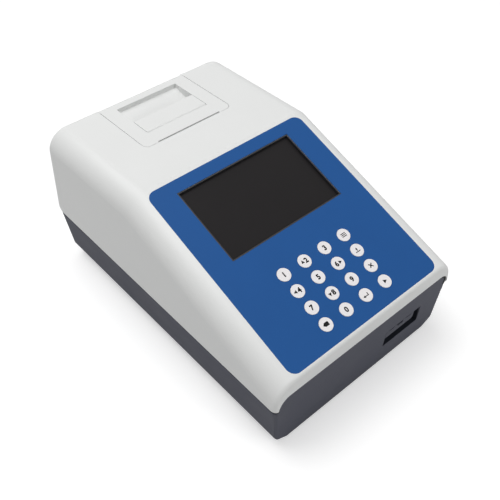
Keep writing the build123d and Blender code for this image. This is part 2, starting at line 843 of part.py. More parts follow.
def port_cutters():
    """Cut-outs of the back wall for its ports."""
    depth = 4 * wall
    room = 2 * port_fit
    return [on_rear(switch_x, Box(switch_length + room, switch_height + room, depth)),
            on_rear(inlet_x, Cylinder(inlet_radius + port_fit, depth)),
            on_rear(serial_x, Box(serial_length + room, serial_height + room, depth)),
            on_rear(usb_x, Box(usb_length + room, usb_height + room, depth))]


def build_tub():
    """The dark tub with its front panel, tray tunnel, bosses and standoffs."""
    hollow = tub_block(wall)
    tub = tub_block(0) - hollow
    panel = front_panel()
    tub += panel
    inner_y = panel_y(slot_z0) + tunnel_depth
    tunnel = box(slot_x0 - tunnel_wall, slot_x1 + tunnel_wall, tray_front_y + 1, inner_y,
                 slot_z0 - tunnel_wall, slot_z1 + tunnel_wall)
    tub += tunnel
    tub -= box(slot_x0, slot_x1, front_y - 5, inner_y + 1, slot_z0, slot_z1)
    for x, y in case_screws():
        tub += post(x, y, floor_z - 1, split_z, boss_radius)
        tub -= post(x, y, 0, bottom_z + counterbore_depth, screw_head_radius + 0.3)
        tub -= post(x, y, 0, split_z + 1, screw_radius + 0.2)
    for x, y in board_standoffs():
        tub += post(x, y, floor_z - 0.5, floor_z + standoff_height, standoff_radius)
    for cutter in port_cutters():
        tub -= cutter
    return tub


def build_case_screws():
    """Long screws from under the tub into the cover."""
    screws = []
    for x, y in case_screws():
        seat = bottom_z + counterbore_depth
        head = post(x, y, seat - screw_head_height, seat, screw_head_radius)
        head -= post(x, y, seat - screw_head_height - 1, seat - screw_head_height + 1, 1.2)
        screws.append(head + post(x, y, seat, split_z + screw_hold, screw_radius))
    return screws


def build_foot(side, end):
    """One round rubber foot."""
    y = front_y + foot_from_front if end == "front" else back_low_y - foot_from_back
    foot = post(side * (half_width - foot_from_side), y, 0, bottom_z, foot_radius)
    return fillet(foot.edges().sort_by(Axis.Z)[0], foot_edge_radius)


# ---- main board ---------------------------------------------------------------------------------------
board_x0 = main_board_x - main_board_width / 2
board_x1 = main_board_x + main_board_width / 2
board_y1 = back_low_y - main_board_from_back
board_y0 = board_y1 - main_board_length


def board_standoffs():
    """The main board's four standoffs."""
    return [(x, y) for x in (board_x0 + standoff_inset, board_x1 - standoff_inset)
            for y in (board_y0 + standoff_inset, board_y1 - standoff_inset)]


def build_main_board():
    """Main board with its larger components."""
    z0 = floor_z + standoff_height
    z1 = z0 + board_thickness
    board = box(board_x0, board_x1, board_y0, board_y1, z0, z1)
    half = processor_size / 2
    middle_y = (board_y0 + board_y1) / 2
    board += box(main_board_x - half, main_board_x + half, middle_y - half, middle_y + half, z1,
                 z1 + processor_height)
    x0 = board_x0 + component_margin
    y0 = board_y0 + relay_from_front
    board += box(x0, x0 + relay_width, y0, y0 + relay_length, z1, z1 + relay_height)
    x1 = board_x1 - component_margin
    y0 = board_y0 + header_from_front
    board += box(x1 - header_length, x1, y0, y0 + header_width, z1, z1 + header_height)
    for i in range(capacitors):
        board += post(x1 - capacitor_radius, board_y1 - capacitor_from_back - i * capacitor_pitch, z1 - 0.01,
                      z1 + capacitor_height, capacitor_radius)
    return board


def build_board_screws():
    """Screw heads on the main board."""
    z1 = floor_z + standoff_height + board_thickness
    return [post(x, y, z1, z1 + screw_head_height, screw_head_radius) for x, y in board_standoffs()]


# ---- strip tray -----------------------------------------------------------------------------------------
carrier_top = tray_low_z + tray_body_step
carrier_low = carrier_top - carrier_thickness
carrier_x0 = tray_centre_x - carrier_width / 2
carrier_front_y = front_y + carrier_setback
rack_pitch_x = carrier_x0 - 1.25 * rack_module
pinion_radius = rack_module * pinion_teeth / 2
pinion_x = rack_pitch_x - pinion_radius - 0.1
pinion_y = front_y + pinion_setback
rack_pitch = math.pi * rack_module
bed_top = carrier_low - slide_gap
bed_low = bed_top - bed_thickness
bed_x0 = tray_centre_x - tray_width / 2 - bed_side
bed_x1 = tray_centre_x + tray_width / 2 + bed_side
bed_y0 = front_y + bed_setback
body_half = tray_width / 2 - tray_body_inset
tray_end_y = tray_front_y + tray_length
optic_y0 = tray_end_y - optic_from_end
optic_low = tray_high_z + optic_gap


def build_tray():
    """Strip tray: front plate, body, strip channel and side gutters."""
    x0 = tray_centre_x - tray_width / 2
    x1 = tray_centre_x + tray_width / 2
    plate = side_prism([(panel_y(tray_low_z), tray_low_z), (panel_y(tray_high_z), tray_high_z),
                        (panel_y(tray_high_z) + tray_plate_thickness, tray_high_z),
                        (panel_y(tray_low_z) + tray_plate_thickness, tray_low_z)], x0, x1)
    plate = fillet(edges_where(plate, lambda p, t: p.X > x1 - 0.1 and abs(t.Y) > 0.9 and p.Z < tray_low_z + 1),
                   tray_corner_radius)
    body = box(tray_centre_x - body_half, tray_centre_x + body_half, tray_front_y + 2,
               tray_end_y, tray_low_z + tray_body_step, tray_high_z - tray_rim_drop)
    tray = plate + body
    end_y = tray_end_y - channel_end
    tray -= box(tray_centre_x - channel_width / 2, tray_centre_x + channel_width / 2, front_y - 5, end_y,
                tray_high_z - channel_depth, far)
    for side in (-1, 1):
        middle = tray_centre_x + side * gutter_offset
        tray -= box(middle - gutter_width / 2, middle + gutter_width / 2, front_y - 5, end_y,
                    tray_high_z - gutter_depth, far)
    tray -= box(tray_centre_x - tile_size / 2, tray_centre_x + tile_size / 2, end_y - tile_size, end_y,
                tray_high_z - channel_depth - tile_thickness, far)
    return tray


def build_tile():
    """White reference tile at the inner end of the channel."""
    end_y = tray_end_y - channel_end
    low = tray_high_z - channel_depth - tile_thickness
    return box(tray_centre_x - tile_size / 2, tray_centre_x + tile_size / 2, end_y - tile_size, end_y,
               low, low + tile_thickness)


def build_carrier():
    """Carrier under the tray, with its rack and guide groove."""
    x1 = tray_centre_x + carrier_width / 2
    y1 = carrier_front_y + carrier_length
    carrier = box(carrier_x0, x1, carrier_front_y, y1, carrier_low, carrier_top)
    groove = bed_rib_width / 2 + slide_gap
    carrier -= box(tray_centre_x - groove, tray_centre_x + groove, carrier_front_y - 1, y1 + 1,
                   carrier_low - 1, carrier_low + bed_rib_height)
    slant = math.tan(math.radians(pressure_angle))
    half_pitch = (rack_pitch / 2 - tooth_play) / 2
    points = [(carrier_x0 + 0.5, pinion_y - 2 * rack_pitch)]
    for i in range(-1, rack_teeth):
        middle = pinion_y + i * rack_pitch
        for reach, flip in ((1.25, -1), (-1.0, -1), (-1.0, 1), (1.25, 1)):
            points.append((rack_pitch_x + reach * rack_module, middle + flip * (half_pitch + reach * slant)))
    points.append((carrier_x0 + 0.5, pinion_y + rack_teeth * rack_pitch))
    rack = Pos(0, 0, carrier_low) * extrude(
        Polygon(*points, align=None), amount=carrier_thickness, dir=(0, 0, 1))
    return carrier + rack


def build_pinion():
    """Pinion and its shaft."""
    outline = gear_outline(rack_module, pinion_teeth, math.pi / pinion_teeth)
    pinion = Pos(pinion_x, pinion_y, carrier_low) * extrude(
        Polygon(*outline, align=None), amount=carrier_thickness, dir=(0, 0, 1))
    return pinion + post(pinion_x, pinion_y, floor_z + motor_shaft_lift, carrier_low + 0.01, motor_shaft_radius)


def build_tray_motor():
    """Round motor standing on the tub's floor."""
    high = bed_low - slide_gap
    motor = post(pinion_x, pinion_y, floor_z, high, tray_motor_radius)
    motor = fillet(motor.edges().sort_by(Axis.Z)[-1], 1.0)
    return motor - post(pinion_x, pinion_y, floor_z + motor_shaft_lift - 1, high + 1,
                        motor_shaft_radius + running_gap)


def build_bed():
    """Guide bed on posts, with a rib for the carrier."""
    y1 = bed_y0 + bed_length
    bed = box(bed_x0, bed_x1, bed_y0, y1, bed_low, bed_top)
    rib = bed_rib_width / 2
    bed += box(tray_centre_x - rib, tray_centre_x + rib, bed_y0 + 2, y1, bed_top - 0.01,
               bed_top + bed_rib_height - slide_gap)
    for x in (bed_x0, bed_x1 - bed_post):
        for y in (bed_y0 + bed_middle_leg, y1 - bed_post):
            bed += box(x, x + bed_post, y, y + bed_post, floor_z, bed_low + 0.01)
    leg_y = bed_y0 + bed_front_leg
    bed += box(bed_x1 - bed_post, bed_x1, leg_y, leg_y + bed_post, floor_z, bed_low + 0.01)
    return bed


def build_optic():
    """Reading head over the tray, on its legs."""
    x0 = bed_x0
    x1 = bed_x1
    y1 = optic_y0 + optic_length
    head = box(x0, x1, optic_y0, y1, optic_low, optic_low + optic_height)
    head = chamfer(edges_where(head, lambda p, t: abs(t.Y) > 0.9 and p.Z > optic_low + 1), optic_chamfer)
    for a, b in ((x0, x0 + optic_leg), (x1 - optic_leg, x1)):
        head += box(a, b, y1 - optic_leg_length, y1, bed_top, optic_low + 0.01)
    lens_y = optic_y0 + optic_length / 2
    head -= post(tray_centre_x, lens_y, optic_low - 1, optic_low + optic_bore_depth, optic_lens_radius)
    return head


def build_optic_lens():
    """Round window of the reading head."""
    lens_y = optic_y0 + optic_length / 2
    low = optic_low + optic_lens_lift
    return post(tray_centre_x, lens_y, low, low + optic_lens_thickness, optic_lens_radius)


# ---- rear ports --------------------------------------------------------------------------------------------
def build_switch_body():
    """Housing of the power switch."""
    flange = Pos(0, 0, flange_thickness / 2) * Box(switch_flange_length, switch_flange_height, flange_thickness)
    body = flange + Pos(0, 0, -switch_depth / 2) * Box(switch_length, switch_height, switch_depth)
    room = rocker_width + 2 * slide_gap
    body -= Pos(0, 0, -switch_pivot_depth) * Rot(0, 90, 0) * Cylinder(rocker_radius + slide_gap, room)
    body -= Pos(0, 0, 1) * Box(room, rocker_height + 2, 6)
    return on_rear(switch_x, body)


def build_rocker():
    """Rocker of the power switch, tipped to its off side."""
    rocker = Rot(0, 90, 0) * Cylinder(rocker_radius, rocker_width)
    rocker &= Pos(0, 0, rocker_radius - rocker_flat) * Box(rocker_width, rocker_height, 2 * rocker_radius)
    for side in (-1, 1):
        cutter = Rot(side * rocker_slant, 0, 0) * Box(through, through, 2 * rocker_face)
        rocker -= Pos(0, side * through / 2, 2 * rocker_face) * cutter
    return on_rear(switch_x, Rot(-rocker_tip, 0, 0) * rocker, out=-switch_pivot_depth)


def build_inlet():
    """Socket for the power lead."""
    socket = Pos(0, 0, flange_thickness / 2) * Cylinder(inlet_flange_radius, flange_thickness)
    socket += Pos(0, 0, -inlet_depth / 2) * Cylinder(inlet_radius, inlet_depth)
    socket -= Pos(0, 0, through / 2 - inlet_bore_depth) * Cylinder(inlet_bore_radius, through)
    return on_rear(inlet_x, socket)


def build_inlet_pin():
    """Centre pin of the socket, from the bottom of its bore."""
    pin = Pos(0, 0, inlet_pin_length / 2 - inlet_bore_depth) * Cylinder(inlet_pin_radius, inlet_pin_length)
    return on_rear(inlet_x, pin)


def build_serial_port():
    """Nine-way port: flange, shell and two rows of pins."""
    port = Pos(0, 0, flange_thickness / 2) * Box(serial_flange_length, serial_flange_height, flange_thickness)
    port += Pos(0, 0, -serial_depth / 2) * Box(serial_length, serial_height, serial_depth)
    bore_length = serial_shell_length - 2 * serial_shell_wall
    bore_height = serial_shell_height - 2 * serial_shell_wall
    shell = Box(serial_shell_length, serial_shell_height, serial_shell_proud) - Box(
        bore_length, bore_height, 2 * serial_shell_proud)
    port += Pos(0, 0, flange_thickness + serial_shell_proud / 2) * shell
    upper = (serial_pins + 1) // 2
    for row, count in ((1, upper), (-1, serial_pins - upper)):
        for i in range(count):
            x = (i - (count - 1) / 2) * serial_pin_pitch
            pin = Cylinder(serial_pin_radius, serial_pin_length)
            port += Pos(x, row * serial_pin_rows / 2, flange_thickness + serial_pin_length / 2 - 0.1) * pin
    return on_rear(serial_x, port, out=-serial_set_in)


def build_usb_port():
    """Square data port with its tongue."""
    port = Pos(0, 0, usb_proud - usb_depth / 2) * Box(usb_length, usb_height, usb_depth)
    floor = usb_proud - usb_opening_depth
    port -= Pos(0, 0, floor + through / 2) * Box(usb_opening_length, usb_opening_height, through)
    tongue_depth = usb_opening_depth - usb_proud - 0.2
    port += Pos(0, 0, floor + tongue_depth / 2 - 0.01) * Box(usb_tongue_length, usb_tongue_height, tongue_depth)
    return on_rear(usb_x, port)


# ---- write every piece ---------------------------------------------------------------------------------------
def main():
    os.makedirs("parts", exist_ok=True)
    pieces = {
        "cover_shell": build_cover(), "base_tub": build_tub(), "keypad_overlay": build_overlay(),
        "window_bezel": build_bezel(), "display_lens": build_lens(), "display_module": build_module(),
        "display_board": build_display_board(), "keypad_board": build_keypad_board(),
        "printer_door": build_door(), "door_lever": build_lever(), "door_hinge_pin": build_hinge_pin(),
        "printer_frame": build_printer_frame(), "print_head": build_print_head(),
        "paper_roll": build_paper_roll(), "printer_motor": build_printer_motor(),
        "drive_gear": build_drive_gear(), "printer_screws": build_printer_screws(),
        "case_screws": build_case_screws(), "main_board": build_main_board(),
        "board_screws": build_board_screws(), "strip_tray": build_tray(), "reference_tile": build_tile(),
        "tray_carrier": build_carrier(), "tray_pinion": build_pinion(), "tray_motor": build_tray_motor(),
        "tray_bed": build_bed(), "reading_head": build_optic(), "reading_lens": build_optic_lens(),
        "switch_body": build_switch_body(), "switch_rocker": build_rocker(), "power_inlet": build_inlet(),
        "power_inlet_pin": build_inlet_pin(), "serial_port": build_serial_port(), "usb_port": build_usb_port(),
    }
    pieces["platen_rubber"], pieces["platen_shaft"] = build_platen()
    for index, (x, s) in enumerate(key_places()):
        row, column = divmod(index, key_columns)
        pieces[f"key_{row + 1}_{column + 1}"] = build_key(x, s)
    for side, side_name in ((-1, "left"), (1, "right")):
        for end in ("front", "back"):
            pieces[f"foot_{end}_{side_name}"] = build_foot(side, end)
    for name, shape in pieces.items():
        save(shape, name)


main()
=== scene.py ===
import json
import math

import bmesh
import bpy
from mathutils import Matrix, Vector


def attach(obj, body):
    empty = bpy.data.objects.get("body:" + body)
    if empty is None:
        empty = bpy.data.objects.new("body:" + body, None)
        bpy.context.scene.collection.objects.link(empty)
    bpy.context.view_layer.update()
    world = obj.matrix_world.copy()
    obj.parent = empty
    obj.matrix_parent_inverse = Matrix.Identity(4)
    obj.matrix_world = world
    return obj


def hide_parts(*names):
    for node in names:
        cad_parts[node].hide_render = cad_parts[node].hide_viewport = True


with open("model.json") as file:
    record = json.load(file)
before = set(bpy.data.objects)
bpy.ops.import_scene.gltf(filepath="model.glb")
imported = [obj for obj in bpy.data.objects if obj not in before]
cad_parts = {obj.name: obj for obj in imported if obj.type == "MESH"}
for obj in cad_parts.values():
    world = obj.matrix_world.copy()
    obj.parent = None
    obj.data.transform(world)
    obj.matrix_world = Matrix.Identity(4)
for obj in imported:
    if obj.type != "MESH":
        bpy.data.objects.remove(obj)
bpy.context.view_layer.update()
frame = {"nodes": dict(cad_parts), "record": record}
nodes = frame["nodes"]
record = frame["record"]
body_of = {node: body for body, members in record["behaviour"]["bodies"].items() for node in members}
slot_of = {part["node"]: part["material_slot"] for part in record["subparts"]}

# Sizes of the object are written in millimetres, and become metres where a mesh is made or laid.
MM = 0.001

# The slope of the cover: it starts at the break line of the flat top and falls towards the front.
BREAK_Y = 17.342
TOP_Z = 134.0
SLOPE = math.radians(20.9)
ACROSS = Vector((1, 0, 0))
UP_SLOPE = Vector((0, math.cos(SLOPE), math.sin(SLOPE)))
OUT_OF_SLOPE = Vector((0, -math.sin(SLOPE), math.cos(SLOPE)))

# Steps of a round corner of 90 degrees.
CORNER_STEPS = 12

# The usual lowest and highest value of a noise, and how much broader the mottling is than the grain.
NOISE_LOW = 0.3
NOISE_HIGH = 0.7
MOTTLE_BREADTH = 40


# ---- small tools ------------------------------------------------------------------------------
def linear(code):
    """An sRGB hex colour as the linear values that a shader takes."""
    parts = [int(code[i:i + 2], 16) / 255 for i in (1, 3, 5)]
    return tuple(c / 12.92 if c <= 0.04045 else ((c + 0.055) / 1.055) ** 2.4 for c in parts) + (1.0,)


def add(tree, kind, settings=None, **links):
    """Add a node, set its properties and values, and link its inputs."""
    made = tree.nodes.new(kind)
    for key, value in (settings or {}).items():
        if isinstance(key, str) and hasattr(made, key):
            setattr(made, key, value)
        else:
            made.inputs[key].default_value = value
    for name, source in links.items():
        key = int(name[1:]) if name[0] == "i" and name[1:].isdigit() else name.replace("_", " ")
        tree.links.new(source, made.inputs[key])
    return made


def material(name, colour, roughness, grain, mottle,
             depth=0.0, wear=0.0, metallic=0.0, ior=1.5, specular=0.5):
    """A plain material with a fine grain, a mottled colour and an uneven gloss.

    The grain's width and depth are in millimetres. mottle is how far the colour strays, as a share,
    and wear is how far the roughness strays.
    """
    made = bpy.data.materials.new(name)
    made.use_nodes = True
    tree = made.node_tree
    surface = tree.nodes["Principled BSDF"]
    surface.inputs["Base Color"].default_value = linear(colour)
    surface.inputs["Roughness"].default_value = roughness
    surface.inputs["Metallic"].default_value = metallic
    surface.inputs["IOR"].default_value = ior
    surface.inputs["Specular IOR Level"].default_value = specular
    place = add(tree, "ShaderNodeTexCoord")
    fine = add(tree, "ShaderNodeTexNoise", {"Scale": 1 / (grain * MM), "Detail": 3.0, "Roughness": 0.6},
               Vector=place.outputs["Object"])
    if depth:
        bump = add(tree, "ShaderNodeBump", {"Strength": 1.0, "Distance": depth * MM},
                   Height=fine.outputs["Fac"])
        tree.links.new(bump.outputs["Normal"], surface.inputs["Normal"])
    broad = add(tree, "ShaderNodeTexNoise", {"Scale": 1 / (grain * MOTTLE_BREADTH * MM), "Detail": 4.0},
                Vector=place.outputs["Object"])
    both = add(tree, "ShaderNodeMath", {"operation": "ADD"},
               i0=fine.outputs["Fac"], i1=broad.outputs["Fac"])
    shade = add(tree, "ShaderNodeMapRange",
                {"From Min": 2 * NOISE_LOW, "From Max": 2 * NOISE_HIGH,
                 "To Min": 1 - mottle, "To Max": 1 + mottle},
                Value=both.outputs[0])
    tint = add(tree, "ShaderNodeHueSaturation", {"Color": linear(colour)}, Value=shade.outputs[0])
    tree.links.new(tint.outputs[0], surface.inputs["Base Color"])
    if wear:
        gloss = add(tree, "ShaderNodeMapRange",
                    {"From Min": NOISE_LOW, "From Max": NOISE_HIGH,
                     "To Min": roughness - wear, "To Max": roughness + wear},
                    Value=broad.outputs["Fac"])
        tree.links.new(gloss.outputs[0], surface.inputs["Roughness"])
    return made


# ---- finishes -----------------------------------------------------------------------------------
# The real grains are too fine to show, so they are drawn coarser, 0.3 to 1.5 mm wide.

# Injection moulded ABS from a spark-eroded mould: an even soft sheen with a very fine grain.
pale_abs = material("moulded_abs_pale", "#ecedec", 0.45, ior=1.54,
                    grain=0.7, depth=0.012, mottle=0.012, wear=0.04)
# The same moulding in slate grey: the grain scatters light, so the faces look matt and slightly blue.
slate_abs = material("moulded_abs_slate", "#4c4e59", 0.6, ior=1.54, specular=0.3,
                     grain=0.7, depth=0.02, mottle=0.05, wear=0.05)
# Painted shade: the same slate ABS, made darker and flatter for the sheets inside the tray's mouth, where
# shade falls.
painted_shade_abs = material("painted_shade_abs_slate", "#1c2029", 0.65, ior=1.54, specular=0.2,
                    grain=0.7, depth=0.01, mottle=0.05, wear=0.05)
# Screen-printed polycarbonate film with a velvet face: a flat deep blue with a fine sparkle.
blue_film = material("printed_film_blue", "#1f5697", 0.5, ior=1.58, specular=0.15,
                     grain=0.8, depth=0.006, mottle=0.045, wear=0.04)
# Smooth moulded key caps: a clean cool white, a little glossier than the cover.
key_abs = material("moulded_key_white", "#f8f5f6", 0.38, ior=1.54,
                   grain=0.6, depth=0.004, mottle=0.006, wear=0.03)
# Pad-printed ink: dense black, nearly matt.
ink = material("printed_ink_black", "#08080a", 0.6, specular=0.2, grain=0.3, mottle=0.05)
# Hard-coated smoked acrylic over the display: brown-black, with the glare taken off.
smoked_acrylic = material("smoked_acrylic", "#1e1c1d", 0.42, ior=1.49, specular=0.12,
                          grain=1.2, mottle=0.06, wear=0.05)
# Moulded black nylon and ABS inside and round the ports: matt, and almost without grain.
# The same black also serves the sheets of painted shade in the tray's well and in the strip channel.
black_plastic = material("moulded_black", "#1c1c1f", 0.5, ior=1.53,
                         grain=0.8, depth=0.01, mottle=0.05, wear=0.05)
# Pressed and plated sheet steel: grey, with a soft broken shine.
plated_steel = material("plated_sheet_steel", "#b4b4b6", 0.32, metallic=1.0,
                        grain=1.5, depth=0.01, mottle=0.03, wear=0.08)
# Ground steel rod: bright and almost even.
ground_steel = material("ground_steel", "#c8c8ca", 0.18, metallic=1.0,
                        grain=0.5, depth=0.004, mottle=0.02, wear=0.05)
# Turned brass: warm yellow metal.
brass = material("turned_brass", "#c8a45c", 0.25, metallic=1.0,
                 grain=0.5, depth=0.004, mottle=0.03, wear=0.05)
# Moulded rubber: deep black-grey and dull.
# The same rubber also serves the dark strips of painted shade beside the door and under the cover's lip.
rubber = material("moulded_rubber", "#141416", 0.8, ior=1.52,
                  grain=0.6, depth=0.02, mottle=0.08, wear=0.05)
# Solder mask over glass epoxy: glossy dark green.
board = material("solder_mask_green", "#1f5a38", 0.35, ior=1.5,
                 grain=1.0, depth=0.01, mottle=0.12, wear=0.08)
# Thermal paper wound tight: soft cool white.
paper = material("thermal_paper", "#f2f2ef", 0.7, ior=1.45, grain=0.5, depth=0.01, mottle=0.02)
# Acetal gears: milky white with a waxy sheen.
acetal = material("moulded_acetal", "#e4e2da", 0.4, ior=1.48,
                  grain=0.8, depth=0.006, mottle=0.02, wear=0.04)
# Cast alloy block of the print head: light grey, finely blasted.
cast_alloy = material("blasted_alloy", "#a8a9ab", 0.5, metallic=1.0,
                      grain=0.5, depth=0.02, mottle=0.04, wear=0.06)
# Polished white tile: bright and glossy.
tile = material("polished_tile", "#f4f4f2", 0.15, ior=1.52, grain=1.0, mottle=0.01)

finish_of = {
    "cover_white": pale_abs, "tub_slate": slate_abs, "overlay_blue": blue_film, "key_white": key_abs,
    "black_plastic": black_plastic, "lens_glass": smoked_acrylic, "display_metal": plated_steel,
    "board_green": board, "steel": ground_steel, "screw_steel": plated_steel, "rubber_black": rubber,
    "paper_white": paper, "gear_white": acetal, "head_alloy": cast_alloy, "tray_grey": slate_abs,
    "tile_white": tile, "brass": brass,
}

for name, node in nodes.items():
    for holder in node.material_slots:
        holder.material = finish_of[slot_of[name]]


# ---- meshes and pieces ----------------------------------------------------------------------------
def new_object(name, data):
    """An object at the origin, in the scene."""
    obj = bpy.data.objects.new(name, data)
    bpy.context.scene.collection.objects.link(obj)
    return obj


def settle(obj, body, finish):
    """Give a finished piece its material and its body."""
    obj.data.materials.clear()
    obj.data.materials.append(finish)
    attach(obj, body)


def piece(name, mesh, body, finish):
    """A finished scene piece from a mesh in metres."""
    settle(new_object(name, mesh), body, finish)


def evaluated_mesh(obj):
    """A plain mesh of a curve, or of a piece with its modifiers."""
    bpy.context.view_layer.update()
    return bpy.data.meshes.new_from_object(obj.evaluated_get(bpy.context.evaluated_depsgraph_get()))


def mesh_of(shape, name):
    """The mesh of a finished bmesh, which is freed."""
    mesh = bpy.data.meshes.new(name)
    shape.to_mesh(mesh)
    shape.free()
    return mesh


def block_mesh(name, boxes):
    """A mesh in metres of boxes, each given by two opposite corners in millimetres."""
    shape = bmesh.new()
    for low, high in boxes:
        size = Vector(high) - Vector(low)
        middle = (Vector(high) + Vector(low)) / 2
        grid = Matrix.Translation(middle * MM) @ Matrix.Diagonal((*(size * MM), 1))
        bmesh.ops.create_cube(shape, size=1, matrix=grid)
    return mesh_of(shape, name)


def prism_mesh(outlines, depth):
    """A mesh in millimetres of upright prisms, one for each outline."""
    shape = bmesh.new()
    for outline in outlines:
        low = [shape.verts.new((x, y, 0)) for x, y in outline]
        high = [shape.verts.new((x, y, depth)) for x, y in outline]
        shape.faces.new(high)
        shape.faces.new(low[::-1])
        for i in range(len(outline)):
            j = (i + 1) % len(outline)
            shape.faces.new((low[i], low[j], high[j], high[i]))
    bmesh.ops.recalc_face_normals(shape, faces=shape.faces)
    return mesh_of(shape, "print")


def lay(mesh, place, up=(0, 1, 0), out=(0, 0, 1)):
    """Lay a mesh drawn in millimetres at a place, with its +Y turned to up and its +Z to out, in metres."""
    turn = Matrix((ACROSS, up, out)).transposed().to_4x4()
    mesh.transform(Matrix.Scale(MM, 4) @ Matrix.Translation(place) @ turn)


# ---- moulded pieces get their small edge rounds --------------------------------------------------
# Corners this close are one, faces this even are one face, edges this sharp are rounded, and the
# shading breaks at creases this sharp.
MERGE_DISTANCE = 0.002
EVEN_ANGLE = math.radians(0.4)
EDGE_ANGLE = math.radians(35)
CREASE_ANGLE = math.radians(70)


def rounded_copy(node, edge, share=None, segments=2):
    """A copy of a CAD piece with its sharp edges rounded, which stands for it.

    Where share is given, it says how much of the round each edge takes, from the middle of the edge.
    """
    mesh = nodes[node].data.copy()
    shape = bmesh.new()
    shape.from_mesh(mesh)
    bmesh.ops.remove_doubles(shape, verts=shape.verts, dist=MERGE_DISTANCE * MM)
    bmesh.ops.dissolve_limit(shape, angle_limit=EVEN_ANGLE, verts=shape.verts, edges=shape.edges)
    if share:
        weight = shape.edges.layers.float.new("bevel_weight_edge")
        for side in shape.edges:
            if side.calc_face_angle(0.0) > EDGE_ANGLE:
                side[weight] = share((side.verts[0].co + side.verts[1].co) / (2 * MM))
    shape.to_mesh(mesh)
    shape.free()
    obj = new_object(node + "_moulding", mesh)
    bevel = obj.modifiers.new("edges", "BEVEL")
    bevel.width = edge * MM
    bevel.segments = segments
    bevel.limit_method = "WEIGHT" if share else "ANGLE"
    bevel.angle_limit = EDGE_ANGLE
    bevel.use_clamp_overlap = True
    bevel.miter_outer = "MITER_ARC"
    evener = obj.modifiers.new("flat faces stay flat", "WEIGHTED_NORMAL")
    evener.keep_sharp = True
    mesh.shade_smooth()
    mesh.set_sharp_from_angle(angle=CREASE_ANGLE)
    ready = evaluated_mesh(obj)
    obj.modifiers.clear()
    obj.data = ready
    settle(obj, body_of[node], finish_of[slot_of[node]])
    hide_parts(node)


# The edge rounds of the cover.
FRONT_EDGE = 1.5
OUTER_EDGE = 0.5
DOOR_BAY_EDGE = 0.2

# The cover's front face starts above the lip's lower edge, and an edge this near to it belongs to it.
FRONT_Y = -137.5
LIP_LOW_Z = 62.9
NEAR = 1

# The door's bay in the flat top lies this near to the middle, this deep, and this far behind the break.
BAY_ZONE_HALF = 50
BAY_ZONE_DEPTH = 8
BAY_ZONE_START = 20


def cover_share(middle):
    """The cover's front edges are rounder than the rest, and the edges of the door's bay are crisp."""
    on_top = middle.z > TOP_Z - BAY_ZONE_DEPTH and middle.y > BREAK_Y + BAY_ZONE_START
    if on_top and abs(middle.x) < BAY_ZONE_HALF:
        return DOOR_BAY_EDGE / FRONT_EDGE
    if middle.y < FRONT_Y + NEAR and middle.z > LIP_LOW_Z + NEAR:
        return 1.0
    return OUTER_EDGE / FRONT_EDGE


edge_rounds = {
    "base_tub": 0.4, "keypad_overlay": 0.08, "window_bezel": 0.15, "display_lens": 0.2,
    "printer_door": 0.15, "door_lever": 0.15, "strip_tray": 0.25, "switch_body": 0.3,
    "switch_rocker": 0.3, "power_inlet": 0.25, "serial_port": 0.15, "usb_port": 0.2,
}
for name, edge in edge_rounds.items():
    rounded_copy(name, edge)
rounded_copy("cover_shell", FRONT_EDGE, cover_share, segments=3)

# ---- painted shade: dark sheets in the tray's mouth and in the strip channel ----------------------
SHADE_SHEET = 0.1
SLOT_X0 = 22.3
SLOT_X1 = 61.0
SLOT_Z0 = 24.2
SHADE_SHEET_TOP_Z = 41.0
TUNNEL_FRONT_Y = -133.6
TUNNEL_END_Y = -128.0
tunnel_sheets = [
    ((SLOT_X0, TUNNEL_FRONT_Y, SLOT_Z0), (SLOT_X1, TUNNEL_END_Y, SLOT_Z0 + SHADE_SHEET)),
    ((SLOT_X1 - SHADE_SHEET, TUNNEL_FRONT_Y, SLOT_Z0 + SHADE_SHEET), (SLOT_X1, TUNNEL_END_Y, SHADE_SHEET_TOP_Z)),
]
# Painted shade: a dark sheet on the tunnel's floor and right wall.
piece("tray_tunnel_painted_shade", block_mesh("tray_tunnel_painted_shade", tunnel_sheets),
      "case", painted_shade_abs)

# Behind the tunnel, the sheets of painted shade on the floor and the side of the well stand just outside
# the tunnel's own.
WELL_X0 = SLOT_X0 - 1
WELL_X1 = SLOT_X1 + 1
WELL_START_Y = TUNNEL_END_Y + 0.4
WELL_END_Y = -118.0
well_sheets = [
    ((WELL_X0, WELL_START_Y, SLOT_Z0 - SHADE_SHEET), (WELL_X1, WELL_END_Y, SLOT_Z0)),
    ((WELL_X1, WELL_START_Y, SLOT_Z0), (WELL_X1 + SHADE_SHEET, WELL_END_Y, SHADE_SHEET_TOP_Z)),
]
# Painted shade: black sheets on the well's floor and side.
piece("tray_well_painted_shade", block_mesh("tray_well_painted_shade", well_sheets),
      "case", black_plastic)

CHANNEL_X = 38.05
CHANNEL_HALF = 3.05
CHANNEL_FLOOR_Z = 38.6
CHANNEL_Y0 = -134.0
CHANNEL_Y1 = -11.0
channel_sheet = [((CHANNEL_X - CHANNEL_HALF, CHANNEL_Y0, CHANNEL_FLOOR_Z),
                  (CHANNEL_X + CHANNEL_HALF, CHANNEL_Y1, CHANNEL_FLOOR_Z + SHADE_SHEET))]
# Painted shade: a black sheet on the strip channel's floor, so that the channel reads dark.
piece("strip_channel_painted_shade", block_mesh("strip_channel_painted_shade", channel_sheet),
      "tray", black_plastic)

